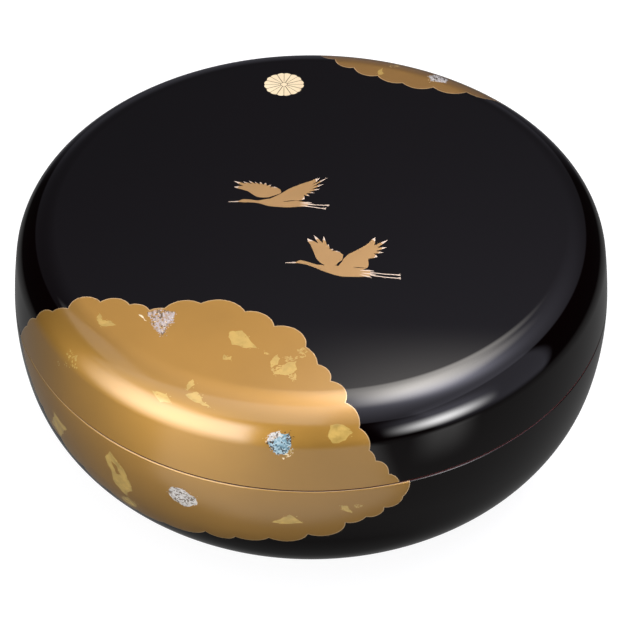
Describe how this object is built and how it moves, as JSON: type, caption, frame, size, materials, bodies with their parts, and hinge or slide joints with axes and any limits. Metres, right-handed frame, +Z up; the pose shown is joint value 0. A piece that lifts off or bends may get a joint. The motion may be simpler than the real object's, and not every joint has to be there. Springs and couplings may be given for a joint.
{
  "type": "lacquer candy box",
  "caption": "Round footed bowl with a flush lift-off domed lid, hollow for sweets, in polished black lacquer with a scalloped gold cloud, flakes and flying cranes.",
  "frame": {"origin": "centre of the circle that the foot ring stands on", "axes": "+Z up along the turning axis; the side with the large gold cloud faces -Y, slightly towards -X"},
  "size_m": [0.2402, 0.2402, 0.113],
  "materials": {
    "black_lacquer": "turned wood under mirror-polished black lacquer, with satin gold powder, gold leaf and pearl shell laid flush in the surface, and dark red lacquer inside"
  },
  "bodies": {
    "root": {"lid": "black_lacquer", "body": "black_lacquer"}
  },
  "joints": []
}
